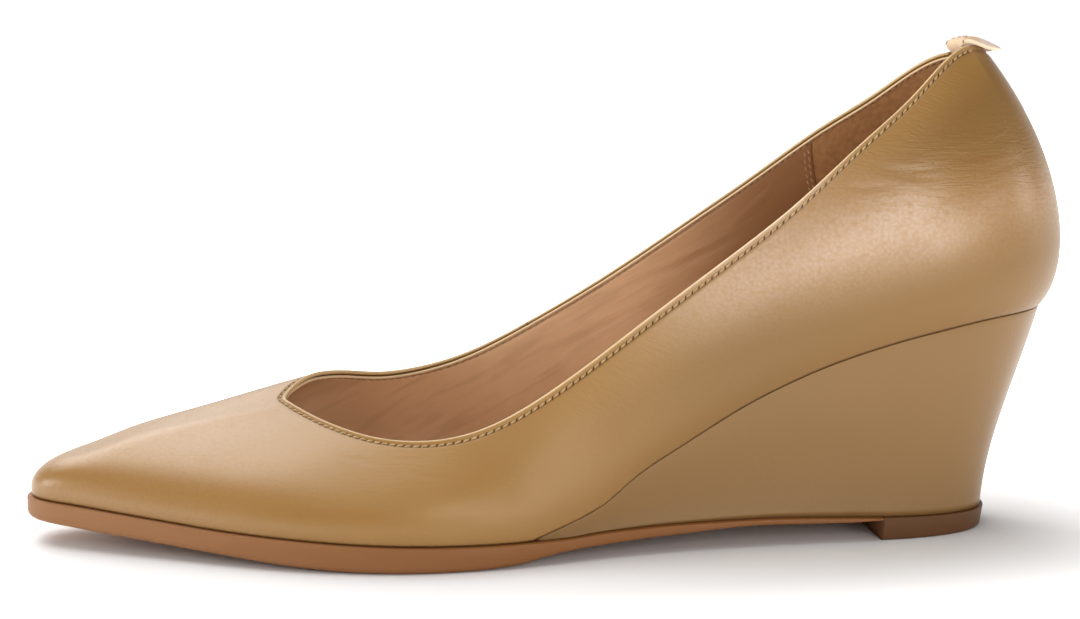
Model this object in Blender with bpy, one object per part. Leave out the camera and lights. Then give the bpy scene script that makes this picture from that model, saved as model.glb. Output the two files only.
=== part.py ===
"""Wedge-heel pump, a left shoe: upper, insole, wedge, outsole, heel lift and heel tab.

The tables are in millimetres: x runs back from the tip of the toe, lateral and medial are distances
from the toe-to-heel line to the outer and inner side of the foot, and z is the height above the floor.
The model is in metres, heel at +X, medial side at +Y, with its origin on the floor under the middle
of the shoe.
"""
import bmesh
import bpy
import numpy as np

MM = 0.001
MIDDLE = (124.2, -2.2)  # middle of the shoe, behind the toe and to the fuller lateral side
WALL = 1.8              # upper leather with its lining
SEAT_GAP = 0.3          # clearance between pieces that are glued together
SMOOTH_ANGLE = 35       # edges sharper than this many degrees stay crisp

INSOLE_THICK = 2.0
INSOLE_CLEAR = 0.5      # between the insole's edge and the upper's inner face
INSOLE_END = 0.2        # stations left off the insole at the tip of the toe
SOLE_EDGE = 1.2         # how far the outsole stands out beyond the upper
SOLE_FULL = 4.0         # where the sole is thinner than this, its edge profile is flattened to suit
LIFT_EDGE = 0.4         # how far the heel lift stands out beyond the wedge
BREAST = 13             # station of the heel breast, where the sole ends and the lift starts
BREAST_GAP = 0.02       # stations between the sole's end and the lift
WEDGE_INSET = 0.4       # the wedge's top edge lies this far inside the upper
WEDGE_HOLLOW = 1.4      # how far the wedge's sides curve in between the foot and the feather line
WEDGE_TIP = 8.33        # station where the wedge is thin enough to end
NOSE_DIP = (14.0, 8.0, 12.0, 1.8)   # x of the hollow behind the nose, its length, width and depth
TAB_THICK = 1.0


def table(columns, *rows):
    """Rows of numbers with named columns."""
    return np.array(list(rows), dtype=[(name, float) for name in columns.split()])


# The feather line, where the upper turns under the foot. The foot columns say how far the wedge's
# foot lies further forward and further in than the feather line above it.
FEATHER = table(
    "x lateral medial foot_forward foot_in",
    (0.7, 0.0, 0.0, 0.0, 0.0),
    (3.4, 6.4, 6.4, 0.0, 0.0),
    (11.0, 11.2, 10.8, 0.0, 0.0),
    (23.0, 17.2, 16.4, 0.0, 0.0),
    (39.0, 24.8, 24.0, 0.0, 0.0),
    (57.0, 33.0, 31.2, 0.0, 0.0),
    (75.5, 38.6, 35.4, 0.0, 0.0),
    (94.0, 40.2, 35.2, 0.0, 0.0),
    (112.5, 37.4, 31.6, 0.0, 0.0),
    (131.5, 31.8, 27.6, 0.0, 0.3),
    (151.5, 27.4, 25.2, 1.0, 0.6),
    (171.5, 25.2, 24.4, 2.0, 1.2),
    (190.0, 24.8, 24.8, 3.5, 2.4),
    (206.6, 24.8, 25.0, 5.3, 3.4),
    (222.5, 22.6, 22.8, 7.2, 3.8),
    (237.2, 15.2, 15.2, 10.0, 3.4),
    (244.6, 0.0, 0.0, 13.4, 0.0),
)

# The topline, from the tip of the throat round the collar to the back of the heel.
TOPLINE = table(
    "x lateral medial lateral_z medial_z",
    (60.8, 1.0, -1.0, 33.2, 33.2),
    (62.0, 4.2, 2.6, 32.6, 34.6),
    (64.0, 7.0, 5.6, 31.9, 36.0),
    (67.0, 10.6, 9.6, 30.9, 37.0),
    (71.0, 15.0, 14.2, 29.8, 37.0),
    (76.5, 20.0, 18.8, 28.6, 36.2),
    (84.0, 25.0, 23.2, 27.6, 35.2),
    (94.5, 28.6, 26.6, 27.7, 36.2),
    (107.5, 28.8, 27.6, 30.7, 40.2),
    (123.5, 27.7, 27.7, 39.5, 48.3),
    (142.0, 25.9, 26.6, 52.8, 59.5),
    (161.0, 24.0, 25.0, 66.6, 72.5),
    (178.5, 22.2, 23.0, 79.8, 84.8),
    (194.0, 19.6, 19.8, 93.4, 96.3),
    (207.5, 16.6, 16.0, 105.0, 105.3),
    (220.6, 10.2, 7.6, 115.9, 114.6),
    (229.0, 1.0, -1.0, 115.5, 115.5),
)

# How the wall runs between those two lines: it leaves the feather line leaning out by bulge over rise,
# and comes to the topline from a point that is reach of the way out, lean further out and drop below.
FORM = table(
    "bulge rise reach lean drop",
    (2.8, 9.8, 0.68, 0.0, 8.0),
    (2.8, 9.8, 0.68, 0.0, 8.0),
    (2.6, 9.6, 0.66, 0.0, 8.0),
    (2.2, 9.0, 0.62, 0.0, 7.0),
    (2.0, 9.0, 0.60, 0.0, 6.5),
    (2.0, 9.0, 0.58, 0.0, 6.0),
    (2.0, 9.0, 0.56, 0.0, 6.0),
    (2.0, 9.0, 0.54, 0.0, 6.0),
    (2.0, 9.0, 0.52, 0.0, 7.0),
    (2.4, 9.0, 0.50, 0.5, 9.0),
    (3.0, 10.0, 0.45, 2.0, 11.0),
    (3.6, 11.0, 0.35, 3.0, 13.0),
    (4.4, 12.0, 0.25, 5.0, 16.0),
    (5.6, 13.0, 0.15, 8.0, 19.0),
    (7.2, 12.0, 0.05, 13.0, 22.0),
    (8.0, 10.0, 0.0, 18.0, 25.0),
    (8.2, 9.4, 0.0, 21.2, 26.1),
)

# The last's bottom edge from the side, then the sole's tread and, behind the ball, its upper face.
LAST_BOTTOM = table(
    "x z",
    (0.0, 10.8),
    (12.0, 10.2),
    (28.0, 9.0),
    (47.0, 7.6),
    (65.0, 6.8),
    (83.0, 6.1),
    (100.0, 5.7),
    (113.0, 5.5),
    (116.5, 5.6),
    (120.0, 6.7),
    (125.0, 8.5),
    (133.0, 12.0),
    (142.0, 18.8),
    (152.0, 24.8),
    (171.0, 35.6),
    (190.0, 43.7),
    (209.0, 49.3),
    (229.0, 53.0),
    (250.0, 54.6),
)
SHANK_TOP = table(
    "x z",
    (100.0, 5.7),
    (113.0, 5.5),
    (125.0, 5.5),
    (133.0, 6.0),
    (152.0, 6.5),
    (171.0, 6.6),
    (190.0, 6.1),
    (201.0, 5.7),
    (235.0, 5.0),
)
TREAD = table(
    "x z",
    (0.0, 5.9),
    (28.0, 3.8),
    (47.0, 2.4),
    (65.0, 1.1),
    (79.0, 0.0),
    (105.0, 0.0),
    (113.0, 0.6),
    (119.0, 1.6),
    (125.0, 2.5),
    (133.0, 3.1),
    (152.0, 4.1),
    (171.0, 5.1),
    (192.0, 4.8),
    (201.0, 5.1),
)

# The outsole's edge from the tread up: how far in from the outline, and how far above its lower face,
# where of_top is 0, or its upper face, where it is 1.
SOLE_SIDE = table(
    "inset above of_top",
    (1.4, 0.0, 0.0),
    (0.4, 0.5, 0.0),
    (0.0, 1.5, 0.0),
    (0.0, -0.4, 1.0),
    (0.4, 0.0, 1.0),
)

# The heel lift's edge from the floor up, as a share of its height.
LIFT_SIDE = table(
    "inset up",
    (1.6, 0.0),
    (0.9, 0.08),
    (0.6, 0.25),
    (0.0, 1.0),
)

# The heel tab from its end inside the heel, over the rim, to its loose end: how far out and up from the
# topline's hindmost point it lies, its half-width, and how far its two edges droop.
TAB_FOLD = table(
    "out up half droop",
    (0.6, -7.0, 3.0, 0.0),
    (-2.7, -3.6, 3.2, 0.0),
    (-6.1, -0.4, 4.0, 0.0),
    (-7.1, 1.4, 6.0, 0.2),
    (-5.9, 2.7, 7.2, 0.6),
    (-3.1, 2.8, 7.6, 2.0),
    (-0.1, 1.6, 7.0, 1.6),
    (2.1, 0.7, 5.0, 0.9),
    (3.4, 0.3, 2.0, 0.3),
)

LEATHER = ((0.56, 0.36, 0.18), 0.45)
LINING = ((0.60, 0.40, 0.28), 0.7)
RUBBER = ((0.30, 0.14, 0.06), 0.6)
LIFT_RUBBER = ((0.22, 0.10, 0.04), 0.6)


def profile(rows, x):
    """Curve through the rows that never swings past them: the slope at a row is the harmonic mean of
    the slopes beside it, or level at a turn."""
    run = np.diff(rows["x"])
    slope = np.diff(rows["z"]) / run
    before, after = slope[:-1], slope[1:]
    same_way = before * after > 0
    mean = 2 * before * after / np.where(same_way, before + after, 1)
    at_row = np.concatenate([slope[:1], np.where(same_way, mean, 0), slope[-1:]])
    x = np.clip(x, rows["x"][0], rows["x"][-1])
    i = np.clip(np.searchsorted(rows["x"], x) - 1, 0, len(run) - 1)
    u = (x - rows["x"][i]) / run[i]
    v = 1 - u
    return (rows["z"][i] * v * v * (1 + 2 * u) + rows["z"][i + 1] * u * u * (3 - 2 * u)
            + run[i] * u * v * (v * at_row[i] - u * at_row[i + 1]))


def sole_top(x):
    """The sole lies against the last up to the tip of the wedge, and under the wedge behind it."""
    last = profile(LAST_BOTTOM, x)
    return np.where(x < SHANK_TOP["x"][0], last, np.minimum(last, profile(SHANK_TOP, x)))


def round_the_shoe(lateral, medial):
    """Rows from the toe down the lateral side, round the heel and back up the medial side."""
    return np.concatenate([lateral, medial[-2:0:-1]])


def closed_spline(knots, t):
    """Smooth closed curve through the knots, and its direction; t counts knots from the toe."""
    count = len(knots)
    step = np.roll(np.eye(count), 1, axis=0)
    turn = np.roll(knots, 1, axis=0) - 2 * knots + np.roll(knots, -1, axis=0)
    bend = np.linalg.solve(4 * np.eye(count) + step + step.T, 6 * turn)
    i = np.floor(t).astype(int) % count
    j = (i + 1) % count
    u = (t - np.floor(t))[:, None]
    v = 1 - u
    point = v * knots[i] + u * knots[j] + ((v ** 3 - v) * bend[i] + (u ** 3 - u) * bend[j]) / 6
    slope = knots[j] - knots[i] + ((1 - 3 * v * v) * bend[i] + (3 * u * u - 1) * bend[j]) / 6
    return point, slope


HEEL = len(FEATHER) - 1
STATIONS = 2 * HEEL


def outline(t, at_foot=0.0):
    """Plan of the feather line, or part of the way down to the wedge's foot, and its outward normal."""
    x = FEATHER["x"] - at_foot * FEATHER["foot_forward"]
    lateral = FEATHER["lateral"] - at_foot * FEATHER["foot_in"]
    medial = FEATHER["medial"] - at_foot * FEATHER["foot_in"]
    point, slope = closed_spline(
        round_the_shoe(np.stack([x, -lateral], axis=1), np.stack([x, medial], axis=1)), t)
    normal = np.stack([slope[:, 1], -slope[:, 0]], axis=1)
    return point, normal / np.linalg.norm(normal, axis=1)[:, None]


def topline(t):
    """The upper's top edge in space."""
    lateral = np.stack([TOPLINE["x"], -TOPLINE["lateral"], TOPLINE["lateral_z"]], axis=1)
    medial = np.stack([TOPLINE["x"], TOPLINE["medial"], TOPLINE["medial_z"]], axis=1)
    return closed_spline(round_the_shoe(lateral, medial), t)[0]


def wall_form(t):
    """The columns of the wall's form at each station."""
    shape = np.stack([FORM[name] for name in FORM.dtype.names], axis=1)
    return closed_spline(round_the_shoe(shape, shape), t)[0].T


def upper_face(t, w):
    """Outer face of the upper: a Bezier curve at each station t, from the feather line at w = 0 to the
    topline at w = 1, with the shallow hollow that lies behind the nose."""
    plan, normal = outline(t)
    top = topline(t)
    bulge, rise, reach, lean, drop = wall_form(t)
    height = profile(LAST_BOTTOM, plan[:, 0]) + SEAT_GAP
    out_of_feather = plan + bulge[:, None] * normal
    out_of_top = top[:, :2] + reach[:, None] * (plan - top[:, :2]) + lean[:, None] * normal
    control = (
        np.column_stack([plan, height]),
        np.column_stack([out_of_feather, height + rise]),
        np.column_stack([out_of_top, top[:, 2] - drop]),
        top,
    )
    w = np.asarray(w)[None, :, None]
    weights = ((1 - w) ** 3, 3 * w * (1 - w) ** 2, 3 * w * w * (1 - w), w ** 3)
    points = sum(weight * corner[:, None] for weight, corner in zip(weights, control))
    x, length, width, depth = NOSE_DIP
    spread = ((points[..., 0] - x) / length) ** 2 + (points[..., 1] / width) ** 2
    points[..., 2] -= depth * np.exp(-spread) * w[..., 0]
    return points


def model_space(points):
    """From the tables' millimetres to the model's metres about its own origin."""
    return (np.asarray(points).reshape(-1, 3) - (*MIDDLE, 0)) * MM


def finish(name, mesh, look):
    """An object of the mesh, shaded smooth, with its own material."""
    colour, roughness = look
    material = bpy.data.materials.new(name)
    material.use_nodes = True
    shader = material.node_tree.nodes["Principled BSDF"]
    shader.inputs["Base Color"].default_value = (*colour, 1)
    shader.inputs["Roughness"].default_value = roughness
    mesh.materials.append(material)
    mesh.shade_smooth()
    mesh.set_sharp_from_angle(angle=np.radians(SMOOTH_ANGLE))
    piece = bpy.data.objects.new(name, mesh)
    bpy.context.collection.objects.link(piece)
    return piece


def sheet(name, grid, closed, thickness, offset, look):
    """A wall of even thickness on a grid of points; closed joins its last row to its first."""
    rows, columns = grid.shape[:2]
    index = np.arange(rows * columns).reshape(rows, columns)
    if closed:
        index = np.concatenate([index, index[:1]])
    quads = np.stack([index[:-1, :-1], index[1:, :-1], index[1:, 1:], index[:-1, 1:]], axis=-1)
    mesh = bpy.data.meshes.new(name)
    mesh.from_pydata(model_space(grid).tolist(), [], quads.reshape(-1, 4).tolist())
    piece = finish(name, mesh, look)
    wall = piece.modifiers.new("wall", "SOLIDIFY")
    wall.thickness = thickness * MM
    wall.offset = offset
    wall.use_even_offset = True
    wall.use_quality_normals = True
    return piece


def slab(name, rings, look):
    """A solid from a stack of horizontal outlines, lowest first. Each runs from one end of a straight
    edge round to the other, and the faces across join its two sides point by point."""
    mesh = bpy.data.meshes.new(name)
    build = bmesh.new()
    loops = [[build.verts.new(point) for point in model_space(ring)] for ring in rings]
    for low, high in zip(loops, loops[1:]):
        for i in range(len(low)):
            j = (i + 1) % len(low)
            build.faces.new((low[i], low[j], high[j], high[i]))
    last = len(loops[0]) - 1
    for loop, upward in ((loops[0], False), (loops[-1], True)):
        for i in range(last // 2):
            corners = dict.fromkeys((loop[i], loop[i + 1], loop[last - i - 1], loop[last - i]))
            face = tuple(corners) if upward else tuple(reversed(corners))
            build.faces.new(face)
    build.to_mesh(mesh)
    build.free()
    return finish(name, mesh, look)


def ring(plan, normal, inset, height):
    """The outline moved in by inset, at a height that follows its length."""
    moved = plan - np.reshape(inset, (-1, 1)) * normal
    return np.column_stack([moved, height(moved[:, 0])])


def along(start, end, per_station):
    """Stations from start to end, evenly spaced, with one in the middle."""
    half = int(np.ceil((end - start) * per_station / 2))
    return np.linspace(start, end, 2 * half + 1)


def make_upper(per_station=4, rows=13):
    """The wall stands on the feather line and is open at the topline and underneath."""
    t = np.arange(per_station * STATIONS) / per_station
    w = np.linspace(0, 1, rows)
    sheet("upper", upper_face(t, w), True, WALL, -1.0, LEATHER)


def make_insole(per_station=3):
    """The insole fills the upper's inner face, so its edge leans out as the wall does."""
    t = along(INSOLE_END, STATIONS - INSOLE_END, per_station)
    plan, normal = outline(t)
    bulge, rise, *_ = wall_form(t)
    lean = bulge / rise
    wall_across = WALL * np.hypot(1, lean)
    rings = []
    for up in (0, INSOLE_THICK):
        inset = wall_across + INSOLE_CLEAR - lean * up
        rings.append(ring(plan, normal, inset, lambda x: profile(LAST_BOTTOM, x) + SEAT_GAP + up))
    slab("insole", rings, LINING)


def make_wedge(per_station=4, rows=8):
    """Straight lines run from the foot to the feather line, drawn in most a third of the way up."""
    t = along(WEDGE_TIP, STATIONS - WEDGE_TIP, per_station)
    foot, _ = outline(t, at_foot=1)
    head, _ = outline(t)
    low = sole_top(foot[:, 0]) + SEAT_GAP
    high = profile(LAST_BOTTOM, head[:, 0])
    tall = (high - low) / (high - low).max()
    rings = []
    for up in np.linspace(0, 1, rows):
        plan, normal = outline(t, at_foot=1 - up)
        drawn_in = up * (1 - up) ** 2 * 27 / 4
        inset = WEDGE_INSET + WEDGE_HOLLOW * drawn_in * tall
        plan = plan - inset[:, None] * normal
        rings.append(np.column_stack([plan, low + up * (high - low)]))
    slab("wedge", rings, LEATHER)


def make_outsole(per_station=4):
    """The edge profile runs round the outline from the heel breast to the heel breast."""
    end = BREAST - BREAST_GAP
    t = along(-end, end, per_station)
    plan, normal = outline(t, at_foot=1)
    rings = []
    for side in SOLE_SIDE:
        def height(x):
            low, high = profile(TREAD, x), sole_top(x)
            full = np.minimum(1, (high - low) / SOLE_FULL)
            return low + side["of_top"] * (high - low) + side["above"] * full
        rings.append(ring(plan, normal, side["inset"] - SOLE_EDGE, height))
    slab("outsole", rings, RUBBER)


def make_heel_lift(per_station=6):
    """The lift stands flat on the floor under the wedge's foot."""
    t = along(BREAST, STATIONS - BREAST, per_station)
    plan, normal = outline(t, at_foot=1)
    rings = [ring(plan, normal, side["inset"] - LIFT_EDGE, lambda x: side["up"] * sole_top(x))
             for side in LIFT_SIDE]
    slab("heel_lift", rings, LIFT_RUBBER)


def make_heel_tab(across=11, over=15):
    """The fold is carried straight across the heel; s from -1 to 1 across it, its edges droop by s^4."""
    row = np.arange(len(TAB_FOLD))
    fold = np.linspace(0, row[-1], over)
    out, up, half, droop = (np.interp(fold, row, TAB_FOLD[name]) for name in TAB_FOLD.dtype.names)
    s = np.linspace(-1, 1, across)[:, None]
    offset = np.stack(np.broadcast_arrays(out, half * s, up - droop * s ** 4), axis=-1)
    sheet("heel_tab", topline(np.array([HEEL])) + offset, False, TAB_THICK, 0.0, LINING)


for old in list(bpy.data.objects):
    bpy.data.objects.remove(old)
make_upper()
make_insole()
make_wedge()
make_outsole()
make_heel_lift()
make_heel_tab()
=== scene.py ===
"""Looks of a wedge-heel pump, a left shoe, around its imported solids.

The tables are in millimetres: x runs back from the tip of the toe, lateral and medial are distances
from the toe-to-heel line to the outer and inner side of the foot, and z is the height above the floor.
Stations t count round the shoe: 0 at the toe, then the lateral side, the heel and the medial side.
"""

import bmesh
import bpy
import numpy as np
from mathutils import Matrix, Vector


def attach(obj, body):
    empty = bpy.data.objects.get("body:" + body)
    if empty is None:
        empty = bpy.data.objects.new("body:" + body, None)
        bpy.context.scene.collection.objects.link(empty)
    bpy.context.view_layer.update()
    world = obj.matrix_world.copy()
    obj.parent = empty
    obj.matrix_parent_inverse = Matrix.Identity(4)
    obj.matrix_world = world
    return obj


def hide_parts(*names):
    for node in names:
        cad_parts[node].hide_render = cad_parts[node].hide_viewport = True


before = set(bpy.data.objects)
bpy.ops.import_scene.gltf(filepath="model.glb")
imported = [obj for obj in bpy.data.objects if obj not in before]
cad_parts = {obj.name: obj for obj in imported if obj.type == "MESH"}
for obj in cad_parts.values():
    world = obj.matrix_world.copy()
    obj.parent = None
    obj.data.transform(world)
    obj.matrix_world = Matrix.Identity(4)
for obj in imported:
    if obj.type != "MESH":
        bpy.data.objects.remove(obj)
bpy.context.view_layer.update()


# The upper: one piece of smooth beige nappa pulled over the last, joined by a seam on the inner side.
# Its top edge is skived, turned over and closed by one row of stitches; below, it is lasted under the
# insole and cemented, which leaves a round lower edge against the sole and the wedge.

def table(columns, *rows):
    """Rows of numbers with named columns."""
    return np.array(list(rows), dtype=[(name, float) for name in columns.split()])


FEATHER = table(
    "x lateral medial foot_forward foot_in",
    (0.7, 0.0, 0.0, 0.0, 0.0),
    (3.4, 6.4, 6.4, 0.0, 0.0),
    (11.0, 11.2, 10.8, 0.0, 0.0),
    (23.0, 17.2, 16.4, 0.0, 0.0),
    (39.0, 24.8, 24.0, 0.0, 0.0),
    (57.0, 33.0, 31.2, 0.0, 0.0),
    (75.5, 38.6, 35.4, 0.0, 0.0),
    (94.0, 40.2, 35.2, 0.0, 0.0),
    (112.5, 37.4, 31.6, 0.0, 0.0),
    (131.5, 31.8, 27.6, 0.0, 0.3),
    (151.5, 27.4, 25.2, 1.0, 0.6),
    (171.5, 25.2, 24.4, 2.0, 1.2),
    (190.0, 24.8, 24.8, 3.5, 2.4),
    (206.6, 24.8, 25.0, 5.3, 3.4),
    (222.5, 22.6, 22.8, 7.2, 3.8),
    (237.2, 15.2, 15.2, 10.0, 3.4),
    (244.6, 0.0, 0.0, 13.4, 0.0),
)
TOPLINE = table(
    "x lateral medial lateral_z medial_z",
    (60.8, 1.0, -1.0, 33.2, 33.2),
    (62.0, 4.2, 2.6, 32.6, 34.6),
    (64.0, 7.0, 5.6, 31.9, 36.0),
    (67.0, 10.6, 9.6, 30.9, 37.0),
    (71.0, 15.0, 14.2, 29.8, 37.0),
    (76.5, 20.0, 18.8, 28.6, 36.2),
    (84.0, 25.0, 23.2, 27.6, 35.2),
    (94.5, 28.6, 26.6, 27.7, 36.2),
    (107.5, 28.8, 27.6, 30.7, 40.2),
    (123.5, 27.7, 27.7, 39.5, 48.3),
    (142.0, 25.9, 26.6, 52.8, 59.5),
    (161.0, 24.0, 25.0, 66.6, 72.5),
    (178.5, 22.2, 23.0, 79.8, 84.8),
    (194.0, 19.6, 19.8, 93.4, 96.3),
    (207.5, 16.6, 16.0, 105.0, 105.3),
    (220.6, 10.2, 7.6, 115.9, 114.6),
    (229.0, 1.0, -1.0, 115.5, 115.5),
)
FORM = table(
    "bulge rise reach lean drop",
    (2.8, 9.8, 0.68, 0.0, 8.0),
    (2.8, 9.8, 0.68, 0.0, 8.0),
    (2.6, 9.6, 0.66, 0.0, 8.0),
    (2.2, 9.0, 0.62, 0.0, 7.0),
    (2.0, 9.0, 0.60, 0.0, 6.5),
    (2.0, 9.0, 0.58, 0.0, 6.0),
    (2.0, 9.0, 0.56, 0.0, 6.0),
    (2.0, 9.0, 0.54, 0.0, 6.0),
    (2.0, 9.0, 0.52, 0.0, 7.0),
    (2.4, 9.0, 0.50, 0.5, 9.0),
    (3.0, 10.0, 0.45, 2.0, 11.0),
    (3.6, 11.0, 0.35, 3.0, 13.0),
    (4.4, 12.0, 0.25, 5.0, 16.0),
    (5.6, 13.0, 0.15, 8.0, 19.0),
    (7.2, 12.0, 0.05, 13.0, 22.0),
    (8.0, 10.0, 0.0, 18.0, 25.0),
    (8.2, 9.4, 0.0, 21.2, 26.1),
)
LAST_BOTTOM = table(
    "x z",
    (0.0, 10.8),
    (12.0, 10.2),
    (28.0, 9.0),
    (47.0, 7.6),
    (65.0, 6.8),
    (83.0, 6.1),
    (100.0, 5.7),
    (113.0, 5.5),
    (116.5, 5.6),
    (120.0, 6.7),
    (125.0, 8.5),
    (133.0, 12.0),
    (142.0, 18.8),
    (152.0, 24.8),
    (171.0, 35.6),
    (190.0, 43.7),
    (209.0, 49.3),
    (229.0, 53.0),
    (250.0, 54.6),
)
MIDDLE = (124.2, -2.2, 0.0)  # where the model's origin lies in the tables
MM = 0.001  # metres to a millimetre
SEAT_GAP = 0.3  # between two pieces that are cemented together
NOSE_DIP = (14.0, 8.0, 12.0, 1.8)  # the hollow behind the nose: its x, length, width and depth
HEEL = len(FEATHER) - 1  # the station at the back
STATIONS = 2 * HEEL  # all round
SMALL = 1e-3  # step of a parameter that gives a slope

LEATHER_THICK = 1.0
LASTED_ROUND = 0.9 * SEAT_GAP  # how far down the round lower edge reaches
EDGE_BAND = 6.0  # the rows are close together this far down from the topline
EDGE_BEAD = (0.6, 0.14, 0.4)  # the turned edge's bead: how far down, how high, half-width
AROUND = 24  # columns of the mesh to a station
HIDDEN = -5.0  # stands for the distance below the topline on a hidden face
STITCH_DOWN = 1.5  # the stitch row lies this far below the topline
STITCH_PITCH = 1.9
STITCH_SINK = 0.26  # how deep the thread pulls the leather in
HOLE_WIDE = 0.24  # half-width of the slit that the needle leaves
HOLE_SLANT = 0.5  # how far along the row a slit runs for a millimetre across it
SEAM_STATION = 23.15  # the upper's own seam, on the inner side of the waist
SEAM_RIDGE = (1.3, 0.22, 0.8)  # the ridges beside it: how far off, how high, half-width
TAB_STATION = 0.8  # stations to each side of the heel that the tab covers

# Creases on the leather: each runs through three points seen from the side, on the lateral (-1) or
# medial (1) face, as a soft trough of some depth and half-width with a low ridge beside it.
CREASES = table(
    "side x0 z0 x1 z1 x2 z2 depth half",
    (-1, 195.0, 89.6, 204.0, 87.6, 216.0, 88.9, 0.24, 0.8),
    (-1, 212.0, 90.2, 220.0, 90.6, 228.0, 92.4, 0.20, 0.8),
    (-1, 198.0, 87.2, 206.0, 86.0, 214.0, 86.4, 0.18, 0.8),
    (-1, 217.0, 93.0, 222.0, 92.6, 228.0, 93.6, 0.16, 0.7),
    (-1, 223.0, 94.9, 227.0, 94.2, 232.0, 95.0, 0.14, 0.7),
    (-1, 188.0, 84.6, 194.0, 83.6, 201.0, 84.2, 0.14, 0.8),
    (-1, 222.0, 87.4, 229.0, 88.6, 236.0, 90.8, 0.12, 0.8),
    (-1, 72.0, 25.0, 77.0, 23.6, 83.0, 23.2, 0.07, 0.8),
    (-1, 82.0, 25.0, 88.0, 24.0, 95.0, 24.2, 0.06, 0.7),
    (-1, 88.0, 21.8, 96.0, 20.6, 105.0, 21.0, 0.08, 0.9),
    (1, 190.0, 89.0, 203.0, 87.0, 218.0, 88.4, 0.22, 0.9),
    (1, 206.0, 91.4, 217.0, 92.2, 228.0, 94.6, 0.18, 0.8),
    (1, 194.0, 84.2, 206.0, 83.0, 219.0, 84.4, 0.16, 0.9),
    (1, 80.0, 31.0, 88.0, 29.4, 98.0, 29.6, 0.08, 0.8),
    (1, 86.0, 26.6, 95.0, 25.2, 106.0, 25.8, 0.08, 0.9),
)


def profile(rows, x):
    """Curve through the rows that never swings past them: the slope at a row is the harmonic mean of
    the slopes beside it, or level at a turn."""
    run = np.diff(rows["x"])
    slope = np.diff(rows["z"]) / run
    before, after = slope[:-1], slope[1:]
    same_way = before * after > 0
    mean = 2 * before * after / np.where(same_way, before + after, 1)
    at_row = np.concatenate([slope[:1], np.where(same_way, mean, 0), slope[-1:]])
    x = np.clip(x, rows["x"][0], rows["x"][-1])
    i = np.clip(np.searchsorted(rows["x"], x) - 1, 0, len(run) - 1)
    u = (x - rows["x"][i]) / run[i]
    v = 1 - u
    return (rows["z"][i] * v * v * (1 + 2 * u) + rows["z"][i + 1] * u * u * (3 - 2 * u)
            + run[i] * u * v * (v * at_row[i] - u * at_row[i + 1]))


def round_the_shoe(lateral, medial):
    """Rows from the toe down the lateral side, round the heel and back up the medial side."""
    return np.concatenate([lateral, medial[-2:0:-1]])


def closed_spline(knots, t):
    """Smooth closed curve through the knots, and its direction; t counts knots from the toe."""
    count = len(knots)
    step = np.roll(np.eye(count), 1, axis=0)
    turn = np.roll(knots, 1, axis=0) - 2 * knots + np.roll(knots, -1, axis=0)
    bend = np.linalg.solve(4 * np.eye(count) + step + step.T, 6 * turn)
    i = np.floor(t).astype(int) % count
    j = (i + 1) % count
    u = (t - np.floor(t))[:, None]
    v = 1 - u
    point = v * knots[i] + u * knots[j] + ((v ** 3 - v) * bend[i] + (u ** 3 - u) * bend[j]) / 6
    slope = knots[j] - knots[i] + ((1 - 3 * v * v) * bend[i] + (3 * u * u - 1) * bend[j]) / 6
    return point, slope


def outline(t, at_foot=0.0):
    """Plan of the feather line, or part of the way down to the wedge's foot, and its outward normal."""
    x = FEATHER["x"] - at_foot * FEATHER["foot_forward"]
    lateral = FEATHER["lateral"] - at_foot * FEATHER["foot_in"]
    medial = FEATHER["medial"] - at_foot * FEATHER["foot_in"]
    point, slope = closed_spline(
        round_the_shoe(np.stack([x, -lateral], axis=1), np.stack([x, medial], axis=1)), t)
    normal = np.stack([slope[:, 1], -slope[:, 0]], axis=1)
    return point, normal / np.linalg.norm(normal, axis=1)[:, None]


def topline(t):
    """The upper's top edge in space."""
    lateral = np.stack([TOPLINE["x"], -TOPLINE["lateral"], TOPLINE["lateral_z"]], axis=1)
    medial = np.stack([TOPLINE["x"], TOPLINE["medial"], TOPLINE["medial_z"]], axis=1)
    return closed_spline(round_the_shoe(lateral, medial), t)[0]


def wall_form(t):
    """The columns of the wall's form at each station."""
    shape = np.stack([FORM[name] for name in FORM.dtype.names], axis=1)
    return closed_spline(round_the_shoe(shape, shape), t)[0].T


def wall(t, w):
    """Outer face of the upper: a Bezier curve at each station t, from the feather line at w = 0 to the
    topline at w = 1, with the shallow hollow behind the nose; w has a row of values for each t."""
    plan, normal = outline(t)
    top = topline(t)
    bulge, rise, reach, lean, drop = wall_form(t)
    height = profile(LAST_BOTTOM, plan[:, 0]) + SEAT_GAP
    out_of_feather = plan + bulge[:, None] * normal
    out_of_top = top[:, :2] + reach[:, None] * (plan - top[:, :2]) + lean[:, None] * normal
    control = (
        np.column_stack([plan, height]),
        np.column_stack([out_of_feather, height + rise]),
        np.column_stack([out_of_top, top[:, 2] - drop]),
        top,
    )
    w = np.asarray(w)[..., None]
    weights = ((1 - w) ** 3, 3 * w * (1 - w) ** 2, 3 * w * w * (1 - w), w ** 3)
    points = sum(weight * corner[:, None] for weight, corner in zip(weights, control))
    x, length, width, depth = NOSE_DIP
    spread = ((points[..., 0] - x) / length) ** 2 + (points[..., 1] / width) ** 2
    points[..., 2] -= depth * np.exp(-spread) * w[..., 0]
    return points


def unit(vectors):
    """The vectors at length one."""
    return vectors / np.linalg.norm(vectors, axis=-1, keepdims=True)


def wall_frame(t, w):
    """A point of the wall for each pair of t and w, with its outward, upward and onward directions,
    from the difference between points just before and after it."""
    point = wall(t, w[:, None])[:, 0]
    onward = unit(wall(t + SMALL, w[:, None])[:, 0] - wall(t - SMALL, w[:, None])[:, 0])
    upward = unit(point - wall(t, w[:, None] - SMALL)[:, 0])
    return point, unit(np.cross(onward, upward)), upward, onward


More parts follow.
